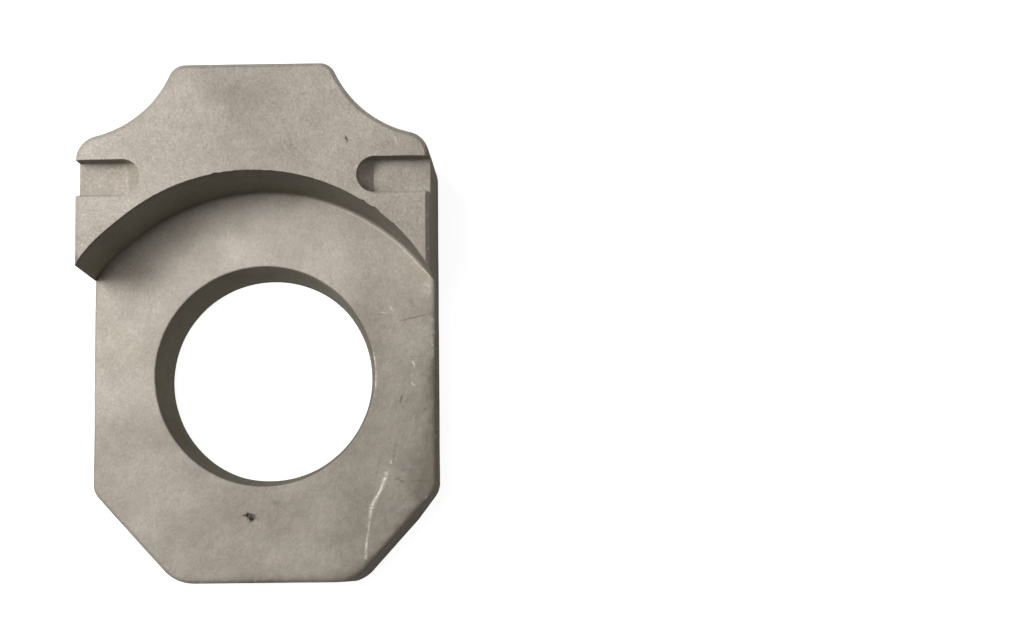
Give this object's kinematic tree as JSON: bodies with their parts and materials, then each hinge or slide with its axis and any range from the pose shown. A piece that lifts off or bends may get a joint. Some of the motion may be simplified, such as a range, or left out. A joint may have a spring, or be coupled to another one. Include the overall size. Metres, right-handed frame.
{
  "type": "motorcycle chain adjuster",
  "caption": "Cast aluminium swingarm axle block with a round axle bore in an open curved recess, slots across its shoulders and a neck for the adjuster bolt.",
  "frame": {"origin": "on the axle bore's axis, at the block's back face", "axes": "+Z along the bore from the back face to the recessed front, +Y from the bore to the neck that the adjuster bolt pushes on, +X across the block"},
  "size_m": [0.0416, 0.061, 0.02],
  "materials": {
    "blasted_aluminium": "bead-blasted casting, matt and fine-grained"
  },
  "bodies": {
    "root": {"adjuster_block": "blasted_aluminium"}
  },
  "joints": []
}
